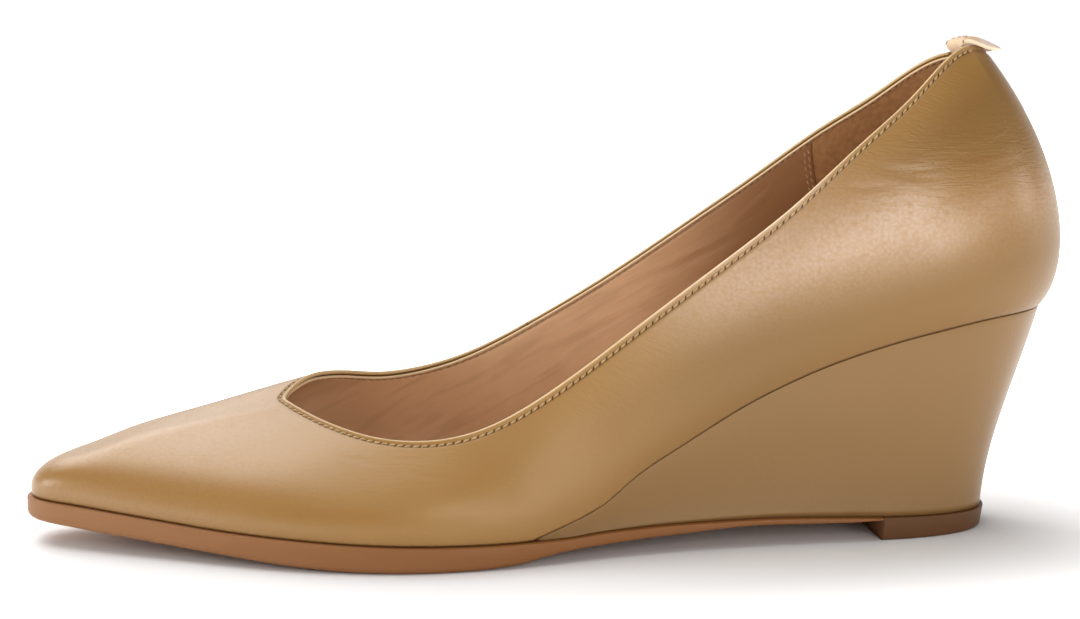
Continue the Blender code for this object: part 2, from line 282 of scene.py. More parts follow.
def down_from_edge(t, down):
    """The parameter w at a distance down from the topline: that distance over the curve's speed."""
    w = np.ones((len(t), 1))
    speed = np.linalg.norm(wall(t, w) - wall(t, w - SMALL), axis=2) / SMALL
    return 1 - down / speed


def crease_relief(points, creases):
    """Height of the creases at each point: q half-widths from a crease's line it is -depth (1 - q^2)
    exp(-q^2), which fades out at the line's two ends."""
    height = np.zeros(points.shape[:2])
    s = np.linspace(0, 1, 49)[:, None]
    for crease in creases:
        start, middle, end = (np.array([crease["x" + k], crease["z" + k]]) for k in "012")
        pull = 2 * middle - (start + end) / 2
        line = (1 - s) ** 2 * start + 2 * s * (1 - s) * pull + s * s * end
        near = np.abs(points[..., 0] - middle[0]) < np.ptp(line[:, 0]) / 2 + 4 * crease["half"]
        near &= points[..., 1] * crease["side"] > 0
        gap = np.linalg.norm(points[near][:, None, [0, 2]] - line, axis=2)
        fade = np.sin(np.pi * s[gap.argmin(axis=1), 0])
        q = gap.min(axis=1) / crease["half"]
        height[near] -= crease["depth"] * fade * (1 - q * q) * np.exp(-q * q)
    return height


def lengths_along(points, axis):
    """Distance along the lines of a grid of points, from its first row."""
    steps = np.linalg.norm(np.diff(points, axis=axis), axis=-1)
    start = np.zeros_like(steps.take([0], axis=axis))
    return np.concatenate([start, np.cumsum(steps, axis=axis)], axis=axis)


def ridge(away, centre, height, half):
    """A rounded ridge: height exp(-q^2), with q the distance from its centre in half-widths."""
    return height * np.exp(-((away - centre) / half) ** 2)


def from_heel(t):
    """Stations from the heel, the shorter way; t starts at the heel and runs once round."""
    return np.minimum(t - HEEL, HEEL + STATIONS - t)


def wall_grid(first, band_rows, rest_rows):
    """The wall from the feather line up to first millimetres below the topline, as columns of points
    from the heel round to the heel, with band_rows of their rows in the edge band. Gives the columns'
    stations, the points, and each point's distance below the topline."""
    t = HEEL + np.arange(AROUND * STATIONS) / AROUND
    band = down_from_edge(t, np.linspace(EDGE_BAND, first, band_rows))
    rest = band[:, :1] * np.linspace(0, 1, rest_rows, endpoint=False)
    points = wall(t, np.concatenate([rest, band], axis=1))
    below = first + lengths_along(points[:, ::-1], 1)[:, ::-1]
    return t, points, below


def grid_frame(points):
    """Outward and upward directions on a grid whose columns close round the shoe."""
    onward = np.roll(points, -1, axis=0) - np.roll(points, 1, axis=0)
    upward = unit(np.gradient(points, axis=1))
    return unit(np.cross(onward, upward)), upward


def round_edge(thick, height, segments, start, end):
    """Offsets outward and upward of the rows of a round edge: an arc from angle start to end, in half
    turns, about the middle of a sheet whose outer face is at zero."""
    angle = np.pi * np.linspace(start, end, segments + 1)[1:-1]
    return thick / 2 * (np.cos(angle) - 1), height * np.sin(angle)


def to_model(points):
    """Points of the tables in the model's metres."""
    return np.subtract(points, MIDDLE) * MM


def quads(index):
    """The faces between neighbours in a grid of point numbers."""
    corners = [index[:-1, :-1], index[1:, :-1], index[1:, 1:], index[:-1, 1:]]
    return np.stack(corners, axis=-1).reshape(-1, 4).tolist()


def new_mesh(name, points, faces, **attributes):
    """A smooth mesh of the tables' points, with a value of each attribute at every point."""
    mesh = bpy.data.meshes.new(name)
    mesh.from_pydata(to_model(points.reshape(-1, 3)).tolist(), [], faces)
    for key, values in attributes.items():
        layer = mesh.attributes.new(key, "FLOAT", "POINT")
        layer.data.foreach_set("value", np.ascontiguousarray(values, np.float32).ravel())
    mesh.shade_smooth()
    return mesh


def skin(name, grid, closed=True, **attributes):
    """A mesh of quads on a grid of points, whose first axis always closes and whose second may."""
    columns, rows = grid.shape[:2]
    index = np.arange(columns * rows).reshape(columns, rows)
    index = np.concatenate([index, index[:1]])
    if closed:
        index = np.concatenate([index, index[:, :1]], axis=1)
    return new_mesh(name, grid, quads(index), **attributes)


def place(name, mesh, material, slot, *nodes):
    """An object of the mesh that rides with the shoe and stands for the nodes."""
    made = bpy.data.objects.new(name, mesh)
    mesh.materials.append(material)
    bpy.context.collection.objects.link(made)
    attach(made, "root")
    if nodes:
        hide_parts(*nodes)
    return made


class Value:
    """A node socket of a material's tree; arithmetic on it adds Math nodes."""

    def __init__(self, tree, socket=None):
        self.tree = tree
        self.socket = socket

    def node(self, kind, settings=(), inputs=(), output=0):
        """A new node: its settings first, then a value or a link for each named input."""
        made = self.tree.nodes.new("ShaderNode" + kind)
        for name, value in dict(settings).items():
            setattr(made, name, value)
        for name, value in dict(inputs).items():
            if isinstance(value, Value):
                self.tree.links.new(value.socket, made.inputs[name])
            else:
                made.inputs[name].default_value = value
        return Value(self.tree, made.outputs[output])

    def maths(self, operation, *values):
        """A Math node."""
        return self.node("Math", {"operation": operation}, enumerate(values))

    def __add__(self, other):
        return self.maths("ADD", self, other)

    def __sub__(self, other):
        return self.maths("SUBTRACT", self, other)

    def __rsub__(self, other):
        return self.maths("SUBTRACT", other, self)

    def __mul__(self, other):
        return self.maths("MULTIPLY", self, other)

    def __truediv__(self, other):
        return self.maths("DIVIDE", self, other)

    __radd__ = __add__
    __rmul__ = __mul__

    def ramp(self, low, high):
        """Smooth step from 0 at low to 1 at high."""
        inputs = {"Value": self, "From Min": low, "From Max": high}
        return self.node("MapRange", {"interpolation_type": "SMOOTHSTEP"}, inputs)

    def near(self, centre, reach):
        """1 at centre, falling smoothly to 0 at reach on both sides."""
        return 1 - self.maths("ABSOLUTE", self - centre).ramp(0, reach)

    def mix(self, colour, other):
        """The colour where this is 0, the other where it is 1."""
        return self.node("Mix", {"data_type": "RGBA"}, {0: self, 6: colour, 7: other}, 2)

    def axis(self, where, number):
        """One coordinate of a place: 0, 1 or 2 for x, y or z."""
        return self.node("SeparateXYZ", {}, {0: where}, number)

    def noise(self, where, scale, detail=2.0, distortion=0.0):
        """Cloudy values about 0.5, with scale of them to the metre."""
        inputs = {"Vector": where, "Scale": scale, "Detail": detail, "Distortion": distortion}
        return self.node("TexNoise", {}, inputs)

    def stretched(self, where, scale, turn=0.0):
        """The coordinates scaled by a different number along each axis, turned about Y first."""
        turned = self.node("Mapping", {}, {"Vector": where, "Rotation": (0, np.radians(turn), 0)})
        return self.node("Mapping", {}, {"Vector": turned, "Scale": scale})


def new_material(name):
    """An empty material, its tree as a Value, and its Object coordinates."""
    material = bpy.data.materials.new(name)
    material.use_nodes = True
    tree = Value(material.node_tree)
    return material, tree, tree.node("TexCoord", output=3)


def attribute(tree, name):
    """A value that the mesh holds at each of its points."""
    return tree.node("Attribute", {"attribute_name": name}, output=2)


def surface(material, colour, roughness, height, **further):
    """Sets the shader: a colour and roughness that vary, bump from a height in millimetres, and
    further sockets, most of them the same all over."""
    tree = Value(material.node_tree)
    shader = material.node_tree.nodes["Principled BSDF"]
    bump = tree.node("Bump", {}, {"Strength": 1.0, "Distance": MM, "Height": height})
    for name, value in (("Base Color", colour), ("Roughness", roughness), ("Normal", bump)):
        tree.tree.links.new(value.socket, shader.inputs[name])
    for name, value in further.items():
        socket = shader.inputs[name.replace("_", " ")]
        if isinstance(value, Value):
            tree.tree.links.new(value.socket, socket)
        else:
            socket.default_value = value


NAPPA = (0.340, 0.177, 0.052, 1)
NAPPA_DEEP = (0.325, 0.168, 0.048, 1)
NAPPA_PAINTED_SHADE = (0.220, 0.113, 0.034, 1)
SEAM_DARK_AND_SHADE = (0.065, 0.029, 0.008, 1)
GLUE_AND_SHADE = (0.090, 0.040, 0.013, 1)
NAPPA_EDGE_HIGHLIGHT = (0.680, 0.480, 0.250, 1)
NAPPA_SHEEN = (1.0, 0.88, 0.68, 1)
POLISH_SHEEN = (1.0, 0.95, 0.86, 1)
BAND_SLOPE = 0.28  # how steeply the quarter's polished band rises to the heel
VAMP_POLISH = 0.35  # the vamp's polish as a share of the quarter's
PEBBLES = 1250.0  # to the metre, as the pores are
PORES = 2600.0
DRAWN_GRAIN = (110, 110, 800)  # changes to the metre along x, y and z
GATHERS = ((140, 140, 900), -24)  # the same, and degrees that they are turned


def nappa(name, pale, deep, with_edge=False):
    """Smooth leather with a satin finish: fine pebble grain, coarser on the quarter, and grain drawn
    out level where the leather is pulled round the heel and where it bends under the throat. The tops
    of the pebbles are polished on the quarter, in a band that rises to the heel, and less on the vamp.
    With an edge, painted shade darkens what isn't polished from the waist back, gathers slant below the
    topline, painted shade darkens the needle holes that follow the stitches, the groove just below them
    and the inner face at the top, the turned edge is painted pale as a highlight, the seam shows as a
    dark joint, and glue with painted shade darkens the line above the sole."""
    material, tree, where = new_material(name)
    x = tree.axis(where, 0)
    z = tree.axis(where, 2)
    clouds = tree.noise(where, 26.0, 3.0)
    pebble = tree.node("TexVoronoi", {"feature": "SMOOTH_F1"}, {"Vector": where, "Scale": PEBBLES})
    pores = tree.noise(where, PORES)
    drawn = tree.noise(tree.stretched(where, DRAWN_GRAIN), 1.0, 2.0, 0.3).near(0.5, 0.1)
    quarter = x.ramp(0.02, 0.075) * z.ramp(0.045, 0.066)
    pulled = z.near(0.087, 0.017) * x.ramp(0.05, 0.08)
    under_throat = x.near(-0.034, 0.036) * z.near(0.023, 0.010)
    height = 0.012 * pores - (0.024 + 0.03 * quarter) * pebble
    height = height - (0.006 * quarter + 0.035 * pulled + 0.02 * under_throat) * drawn
    band = (z - BAND_SLOPE * x).ramp(0.034, 0.052) * x.ramp(0.0, 0.05) * (1 - z.ramp(0.078, 0.096))
    polished = band + VAMP_POLISH * (1 - x.ramp(-0.09, -0.03))
    polished = polished * (1.4 - 1.1 * pebble - 0.3 * pulled * drawn)
    colour = clouds.ramp(0.3, 0.7).mix(deep, pale)
    roughness = 0.34 + 0.06 * clouds
    if with_edge:
        below = attribute(tree, "below_edge")
        gathers = tree.noise(tree.stretched(where, *GATHERS), 1.0, 2.0, 0.3).near(0.5, 0.12)
        gathered = below.ramp(2.2, 4.0) * (1 - below.ramp(5.0, 14.0))
        height = height - 0.045 * gathers * gathered * (0.2 + 0.8 * x.ramp(-0.01, 0.07))
        # Painted shade: where the leather isn't polished it is darkened from the waist back, more so
        # further below the topline.
        unpolished_shade = x.ramp(-0.02, 0.05) * (1 - band) * (0.3 + 0.7 * below.ramp(3.0, 15.0))
        colour = (0.9 * unpolished_shade).mix(colour, NAPPA_PAINTED_SHADE)
        slewed = attribute(tree, "along_edge") + HOLE_SLANT * (below - STITCH_DOWN) + STITCH_PITCH / 2
        to_hole = tree.maths("PINGPONG", slewed, STITCH_PITCH / 2) / HOLE_WIDE
        hole = (1 - to_hole * to_hole) * below.near(STITCH_DOWN + 0.1, 0.6)
        hole = hole.ramp(0.0, 0.5)
        shade = below.near(STITCH_DOWN + 0.4, 0.3)
        seam = attribute(tree, "beside_seam").near(0.0, 0.4)
        height = height - 0.1 * hole - 0.5 * seam
        roughness = roughness + 0.5 * hole
        polished = polished * (1 - hole)
        # Painted shade in the needle holes and in the groove just below the stitch row; the seam is
        # darkened as a dark joint.
        for share in (0.5 * shade, 0.9 * hole, 0.7 * seam):
            colour = share.mix(colour, SEAM_DARK_AND_SHADE)
        # Glue and painted shade darken the line just above the sole, in the gap where the upper meets
        # the wedge.
        above = attribute(tree, "above_sole") + 0.5 * tree.noise(where, 700.0)
        colour = (0.75 * (1 - above.ramp(0.25, 0.65))).mix(colour, GLUE_AND_SHADE)
        # Painted highlight: the turned edge along the topline is painted pale.
        colour = (0.9 * below.near(0.0, 0.8)).mix(colour, NAPPA_EDGE_HIGHLIGHT)
        # Painted shade on the leather's inner face, which shows in the groove between the turned edge
        # and the lining.
        colour = (0.4 * below.ramp(-1.0, -4.0)).mix(colour, SEAM_DARK_AND_SHADE)
    surface(material, colour, roughness, height, Specular_IOR_Level=0.5, Specular_Tint=NAPPA_SHEEN,
            Coat_Weight=polished, Coat_IOR=1.8, Coat_Roughness=0.33, Coat_Tint=POLISH_SHEEN)
    return material


def make_upper():
    """The leather as a sheet whose section closes: up its outer face, over the turned edge, down its
    inner face and round the lower edge. The thread draws a groove in it, the turned edge stands up as a
    bead, and a ridge lies along each side of the seam."""
    t, points, below = wall_grid(LEATHER_THICK / 2, 22, 78)
    out, up = grid_frame(points)
    beside_seam = lengths_along(points, 0)
    beside_seam = beside_seam - beside_seam[[np.abs(t - SEAM_STATION).argmin()]]
    relief = crease_relief(points, CREASES)
    relief -= ridge(below, STITCH_DOWN, STITCH_SINK, 0.5)
    relief += ridge(below, *EDGE_BEAD)
    relief += ridge(np.abs(beside_seam), *SEAM_RIDGE)
    points = points + relief[..., None] * out
    rows = points.shape[1]
    over = round_edge(LEATHER_THICK, LEATHER_THICK / 2, 8, 0, 1)
    under = round_edge(LEATHER_THICK, LASTED_ROUND, 6, 1, 2)
    inner = np.linspace(rows - 1, 0, 12).round().astype(int)
    base = np.concatenate([np.arange(rows), [rows - 1] * len(over[0]), inner, [0] * len(under[0])])
    outward = np.concatenate([np.zeros(rows), over[0], [-LEATHER_THICK] * len(inner), under[0]])
    upward = np.concatenate([np.zeros(rows), over[1], np.zeros(len(inner)), under[1]])
    grid = points[:, base] + outward[:, None] * out[:, base] + upward[:, None] * up[:, base]
    below = below[:, base]
    below[:, rows:] = HIDDEN
    below[:, rows:rows + len(over[0])] = 0.0
    below[from_heel(t) < TAB_STATION] = 3 * EDGE_BAND
    along = lengths_along(wall(t, down_from_edge(t, STITCH_DOWN))[:, 0], 0)
    around = along[-1] + along[1]
    along *= np.round(around / STITCH_PITCH) * STITCH_PITCH / around
    mesh = skin(
        "upper", grid,
        below_edge=below,
        above_sole=lengths_along(points, 1)[:, base],
        along_edge=np.repeat(along[:, None], len(base), axis=1),
        beside_seam=beside_seam[:, base],
    )
    look = nappa("nappa", NAPPA, NAPPA_DEEP, with_edge=True)
    place("upper", mesh, look, "upper_leather", "upper")


make_upper()


# The lining: thin pink-tan leather inside the upper, stitched in with it, its cut edge a little lower
# than the leather's. Behind a doubly stitched seam the heel is lined with suede, which grips the foot.

LINING_THICK = 0.75
LINING_FACE = -LEATHER_THICK - 0.06  # the lining's hidden face, inside the leather
LINING_SHOWN = LINING_FACE - LINING_THICK  # the face that shows
LINING_DROP = 0.65  # how much lower its edge is
LINING_SINK = 0.2  # how deep the thread pulls it in
GRIP_STATION = 3.15  # stations from the heel to the seam of the suede
GRIP_SPACING = FEATHER["x"][HEEL - 3] - FEATHER["x"][HEEL - 4]  # length of a station there
GRIP_STEP = 0.3  # the suede lies this much lower than the lining
WRINKLES = ((60, 60, 420), 30)  # changes to the metre, and degrees of turn
LINING = (0.78, 0.490, 0.270, 1)
LINING_PALE = (0.84, 0.550, 0.315, 1)
LINING_HEEL_SHADE = (0.38, 0.195, 0.085, 1)
LINING_WRINKLE_SHADE = (0.34, 0.175, 0.080, 1)
SUEDE = (0.53, 0.295, 0.130, 1)
SUEDE_DEEP = (0.40, 0.210, 0.085, 1)
LINING_EDGE = (0.80, 0.580, 0.340, 1)
LINING_SHADE = (0.120, 0.055, 0.022, 1)
LINING_CREASES = table(
    "side x0 z0 x1 z1 x2 z2 depth half",
    (1, 150.0, 57.6, 162.0, 62.4, 174.0, 70.2, -0.45, 1.1),
    (1, 157.0, 63.6, 167.0, 66.4, 176.0, 73.0, 0.35, 1.0),
    (1, 171.0, 70.6, 178.0, 76.4, 184.0, 83.4, 0.28, 1.0),
    (1, 160.0, 56.4, 169.0, 60.6, 179.0, 68.0, -0.30, 1.0),
    (1, 131.0, 40.0, 140.0, 45.0, 152.0, 51.0, -0.25, 1.4),
    (1, 126.0, 42.0, 133.0, 45.6, 141.0, 49.0, 0.16, 1.0),
    (-1, 140.0, 40.0, 156.0, 50.0, 174.0, 64.0, -0.45, 1.6),
    (-1, 156.0, 46.0, 168.0, 54.0, 182.0, 64.0, -0.40, 1.4),
)


def lining_leather(name):
    """Matt lining leather with soft wrinkles along the topline, painted shade along them, and a pale
    cut edge; painted shade in the groove of the stitches, painted darker towards the heel as shade, and
    napped suede in the heel behind a step with painted shade along it."""
    material, tree, where = new_material(name)
    clouds = tree.noise(where, 40.0, 4.0)
    pores = tree.noise(where, 1500.0, 3.0)
    wrinkle = tree.noise(tree.stretched(where, *WRINKLES), 1.0, 3.0)
    nap = tree.noise(where, 700.0, 6.0)
    beside = attribute(tree, "beside_grip")
    below = attribute(tree, "below_edge")
    grip = beside.ramp(0.1, -0.1)
    plain = clouds.ramp(0.35, 0.65).mix(LINING, LINING_PALE)
    # Painted shade: the lining is darkened towards the heel.
    plain = tree.axis(where, 0).ramp(0.02, 0.06).mix(plain, LINING_HEEL_SHADE)
    # Painted shade along the wrinkles.
    plain = (0.2 * wrinkle.ramp(0.45, 0.7)).mix(plain, LINING_WRINKLE_SHADE)
    napped = nap.ramp(0.25, 0.75).mix(SUEDE_DEEP, SUEDE)
    colour = grip.mix(plain, napped)
    colour = (0.6 * below.near(STITCH_DOWN, 0.5)).mix(colour, LINING_SHADE)
    colour = (0.75 * beside.near(-0.2, 0.35)).mix(colour, LINING_SHADE)
    colour = below.near(LINING_DROP, 0.5).mix(colour, LINING_EDGE)
    height = 0.02 * pores + (1 - grip) * wrinkle * 0.22 + grip * nap * 0.10
    surface(material, colour, 0.58 + 0.3 * grip, height, Specular_IOR_Level=0.35)
    return material


def make_lining():
    """The lining's section closes as the leather's does: up its hidden face, over its edge and down the
    face that shows, which steps outward at the suede as half of 1 - tanh."""
    first = LINING_DROP + LINING_THICK / 2
    t, points, below = wall_grid(first, 14, 40)
    out, up = grid_frame(points)
    beside_grip = (from_heel(t) - GRIP_STATION) * GRIP_SPACING
    step = GRIP_STEP / 2 * (1 - np.tanh(beside_grip / 0.4))
    relief = crease_relief(points, LINING_CREASES)
    relief += ridge(below, STITCH_DOWN, LINING_SINK, 0.4)
    relief += step[:, None] * (below > STITCH_DOWN)
    rows = points.shape[1]
    over = round_edge(LINING_THICK, LINING_THICK / 2, 8, 0, 1)
    hidden = np.linspace(0, rows - 1, 6).round().astype(int)
    shown = np.arange(rows)[::-1]
    base = np.concatenate([hidden, [rows - 1] * len(over[0]), shown])
    outward = np.concatenate([np.zeros(len(hidden)), over[0], [-LINING_THICK] * rows]) + LINING_FACE
    upward = np.concatenate([np.zeros(len(hidden)), over[1], np.zeros(rows)])
    showing = np.concatenate([np.zeros(len(hidden) + len(over[0])), np.ones(rows)])
    offset = outward + showing * relief[:, base]
    grid = points[:, base] + offset[..., None] * out[:, base] + upward[:, None] * up[:, base]
    beside_grip = np.repeat(beside_grip[:, None], len(base), axis=1)
    below = below[:, base]
    below[:, :len(hidden)] = HIDDEN
    below[:, len(hidden):-rows] = LINING_DROP
    mesh = skin("lining", grid, beside_grip=beside_grip, below_edge=below)
    place("lining", mesh, lining_leather("lining leather"), "lining_leather")


make_lining()


# The stitches: bonded thread a shade lighter than the leather, one row of lockstitch through leather
# and lining round the topline, seen on both sides, and two short rows down each side of the heel grip.

THREAD = (0.58, 0.380, 0.180, 1)
THREAD_DARK = (0.40, 0.235, 0.090, 1)
LINING_THREAD = (0.45, 0.270, 0.140, 1)
LINING_THREAD_DARK = (0.28, 0.150, 0.070, 1)
GRIP_THREAD = (0.62, 0.400, 0.240, 1)
STITCH_LONG = 1.6
STITCH_WIDE = 0.5
STITCH_TILT = 13.0  # degrees that each stitch is slewed across its row
STITCH_ARCH = 0.16  # how much higher its middle lies than its ends
STITCH_TAPER = 0.9  # how far its ends are drawn in
STITCH_FLAT = 0.8  # its thickness over its width
STITCH_SEAT = 0.12  # how far its middle line stands out of the leather
STITCH_RINGS = 7
STITCH_SIDES = 6
GRIP_ROWS = (0.7, 1.8)  # how far the two rows lie in front of the suede
GRIP_SPAN = (0.97, 0.06)  # they run down the wall between these values of w
GRIP_PITCH = 2.0


def thread(name, pale, deep):
    """Twisted thread: fine mottling over a satin core."""
    material, tree, where = new_material(name)
    twist = tree.noise(where, 2400.0, 1.0)
    colour = twist.ramp(0.3, 0.7).mix(deep, pale)
    surface(material, colour, 0.45 + 0.2 * twist, 0.05 * twist)
    return material


def stitch_mesh(name, centre, along, out):
    """Each stitch is a spindle along its row, slewed a little, arched up in the middle and drawn in at
    both ends: at u from -1 to 1 its radius follows the root of 1 - STITCH_TAPER u^2."""
    u = np.linspace(-1, 1, STITCH_RINGS)[None, :, None, None]
    v = 2 * np.pi * np.arange(STITCH_SIDES)[None, None, :, None] / STITCH_SIDES
    tilt = np.radians(STITCH_TILT)
    slewed = np.cos(tilt) * along + np.sin(tilt) * np.cross(out, along)
    side = np.cross(out, slewed)
    centre, slewed, side, out = (each[:, None, None, :] for each in (centre, slewed, side, out))
    radius = STITCH_WIDE / 2 * np.sqrt(1 - STITCH_TAPER * u * u)
    points = centre + slewed * u * STITCH_LONG / 2 - out * STITCH_ARCH * u * u
    points = points + radius * (np.cos(v) * side + STITCH_FLAT * np.sin(v) * out)
    index = np.arange(points.size // 3).reshape(points.shape[:3])
    turned = np.roll(index, -1, axis=2)
    faces = np.stack([index[:, :-1], turned[:, :-1], turned[:, 1:], index[:, 1:]], axis=-1)
    ends = np.concatenate([index[:, 0, ::-1], index[:, -1]])
    return new_mesh(name, points, faces.reshape(-1, 4).tolist() + ends.tolist())


def make_stitches():
    """The topline's row on the leather and on the lining, at equal steps of its length."""
    fine = HEEL + STATIONS * np.linspace(0, 1, 6001)
    length = lengths_along(wall(fine, down_from_edge(fine, STITCH_DOWN))[:, 0], 0)
    count = int(np.round(length[-1] / STITCH_PITCH))
    t = np.interp(length[-1] * np.arange(count) / count, length, fine)
    t = t[from_heel(t) > TAB_STATION]
    point, out, _, onward = wall_frame(t, down_from_edge(t, STITCH_DOWN)[:, 0])
    mesh = stitch_mesh("topline_stitches", point + (STITCH_SEAT - STITCH_SINK) * out, onward, out)
    place("topline_stitches", mesh, thread("thread", THREAD, THREAD_DARK), "upper_leather")
    mesh = stitch_mesh("lining_stitches", point + (LINING_SHOWN + STITCH_SEAT) * out, onward, -out)
    look = thread("lining thread", LINING_THREAD, LINING_THREAD_DARK)
    place("lining_stitches", mesh, look, "lining_leather")


def make_grip_stitches():
    """Two rows down each side of the heel, at equal steps from the topline's row to the insole."""
    fine = np.linspace(*GRIP_SPAN, 400)
    rows = []
    for side in (-1, 1):
        for beside in GRIP_ROWS:
            station = HEEL + side * (GRIP_STATION + beside / GRIP_SPACING)
            length = lengths_along(wall_frame(np.full(len(fine), station), fine)[0], 0)
            w = np.interp(np.arange(GRIP_PITCH, length[-1], GRIP_PITCH), length, fine)
            point, out, up, _ = wall_frame(np.full(len(w), station), w)
            rows.append((point + LINING_SHOWN * out, up, -out))
    centre, along, out = (np.concatenate(each) for each in zip(*rows))
    mesh = stitch_mesh("grip_stitches", centre, along, out)
    place("grip_stitches", mesh, thread("grip thread", GRIP_THREAD, LINING_THREAD), "lining_leather")


make_stitches()
make_grip_stitches()


# The insole: board covered with a sock of the lining's leather, cemented in flat from toe to heel. Its
# edge follows the inside of the wall.

INSOLE_THICK = 2.0
INSOLE_ROUND = 0.6
INSOLE_CLEAR = 0.35  # between its edge and the lining
INSOLE_END = 0.2  # stations that its blunt front takes off each side of the toe
CAP_ROWS = 8  # rows from a slab's edge in to its middle line
SOCK = (0.47, 0.270, 0.165, 1)
SOCK_WORN = (0.40, 0.220, 0.125, 1)


def even_stations(start, end, per_station):
    """Stations from start to end, evenly spaced, with one in the middle."""
    half = int(np.ceil((end - start) * per_station / 2))
    return np.linspace(start, end, 2 * half + 1)


def slab(name, rings):
    """A closed mesh from outlines stacked from the lowest up. Each runs from one end of a straight edge
    round to the other; below and above, rows run in to the middle between a point and its partner on
    the other side."""
    rings = np.asarray(rings)
    middle = (rings + rings[:, ::-1]) / 2
    share = np.linspace(0, 1, CAP_ROWS + 1)[1:, None, None]
    below = (rings[0] + share * (middle[0] - rings[0]))[::-1]
    above = rings[-1] + share * (middle[-1] - rings[-1])
    grid = np.concatenate([below, rings, above]).swapaxes(0, 1)
    mesh = skin(name, grid, closed=False)
    build = bmesh.new()
    build.from_mesh(mesh)
    bmesh.ops.remove_doubles(build, verts=build.verts, dist=1e-7)
    build.to_mesh(mesh)
    build.free()
    mesh.shade_smooth()
    return mesh


def ring(plan, normal, inset, height):
    """The outline moved in by inset, at a height that follows its length."""
    moved = plan - np.reshape(inset, (-1, 1)) * normal
    return np.column_stack([moved, height(moved[:, 0])])


def corner(radius, segments, start, end):
    """Insets and rises of an arc that rounds a slab's edge, in quarter turns from the side's foot."""
    angle = np.pi / 2 * np.linspace(start, end, segments + 1)
    return zip(radius * (1 - np.cos(angle)), radius * np.sin(angle))


def sock_leather(name):
    """Matt leather, a little darker and rougher in soft clouds where the foot has trodden."""
    material, tree, where = new_material(name)
    clouds = tree.noise(where, 30.0, 4.0)
    pores = tree.noise(where, 1300.0, 3.0)
    colour = clouds.ramp(0.35, 0.7).mix(SOCK, SOCK_WORN)
    height = 0.03 * pores + 0.4 * clouds
    surface(material, colour, 0.5 + 0.2 * clouds, height, Specular_IOR_Level=0.35)
    return material


def make_insole():
    """The edge leans out as the wall does and is rounded at the top."""
    t = even_stations(INSOLE_END, STATIONS - INSOLE_END, 12)
    plan, normal = outline(t)
    bulge, rise, *_ = wall_form(t)
    lean = bulge / rise
    wall_across = -LINING_SHOWN * np.hypot(1, lean)
    shoulder = INSOLE_THICK - INSOLE_ROUND
    sides = [(0, 0)] + [(inset, shoulder + up) for inset, up in corner(INSOLE_ROUND, 4, 0, 1)]
    rings = []
    for inset, up in sides:
        inset = wall_across + INSOLE_CLEAR - lean * up + inset
        rings.append(ring(plan, normal, inset, lambda x: profile(LAST_BOTTOM, x) + SEAT_GAP + up))
    place("insole", slab("insole", rings), sock_leather("sock leather"), "lining_leather", "insole")


make_insole()


# The wedge: a moulded block covered with the upper's leather, drawn in a little between its foot and
# the feather line, and tucked under the upper, which leaves a dark fold between them.

SHANK_TOP = table(
    "x z",
    (100.0, 5.7),
    (113.0, 5.5),
    (125.0, 5.5),
    (133.0, 6.0),
    (152.0, 6.5),
    (171.0, 6.6),
    (190.0, 6.1),
    (201.0, 5.7),
    (235.0, 5.0),
)
WEDGE_INSET = 0.35  # how far it lies inside the feather line
WEDGE_HOLLOW = 1.4  # how far it is drawn in where it is tallest
WEDGE_TIP = 8.31  # the station where it starts
WEDGE_ROUND = 0.30  # radius of the fold under the upper
# The wedge's leather is the upper's nappa painted darker: painted shade.
WEDGE_NAPPA_SHADED = (0.245, 0.130, 0.044, 1)
WEDGE_DEEP_SHADED = (0.232, 0.122, 0.040, 1)


def sole_top(x):
    """The sole lies against the last up to the tip of the wedge, and under the wedge behind it."""
    last = profile(LAST_BOTTOM, x)
    return np.where(x < SHANK_TOP["x"][0], last, np.minimum(last, profile(SHANK_TOP, x)))


def make_wedge():
    """Straight lines run from the foot to the feather line, drawn in most a third of the way up, by
    up (1 - up)^2, with a round fold at the top."""
    t = even_stations(WEDGE_TIP, STATIONS - WEDGE_TIP, 20)
    low = sole_top(outline(t, at_foot=1)[0][:, 0]) + SEAT_GAP / 2
    high = profile(LAST_BOTTOM, outline(t)[0][:, 0])
    tall = (high - low) / (high - low).max()
    fold = np.minimum(WEDGE_ROUND, 0.4 * (high - low))
    sides = [(up, 0.0, 0.0) for up in np.linspace(0, 1, 30, endpoint=False)]
    sides += [(1.0, inset, rise) for inset, rise in corner(1.0, 5, 0, 1)]
    rings = []
    for up, inset, rise in sides:
        plan, normal = outline(t, at_foot=1 - up)
        drawn_in = up * (1 - up) ** 2 * 27 / 4
        moved = WEDGE_INSET + WEDGE_HOLLOW * drawn_in * tall + inset * fold
        height = low + up * (high - fold - low) + rise * fold
        rings.append(np.column_stack([plan - moved[:, None] * normal, height]))
    look = nappa("wedge nappa", WEDGE_NAPPA_SHADED, WEDGE_DEEP_SHADED)
    place("wedge", slab("wedge", rings), look, "upper_leather", "wedge")


make_wedge()


# The outsole: a moulded rubber sole, thick under the forefoot and thin under the arch and the wedge,
# with a rounded tread edge and a crisp top rim that stands out beyond the upper. It is cemented on.

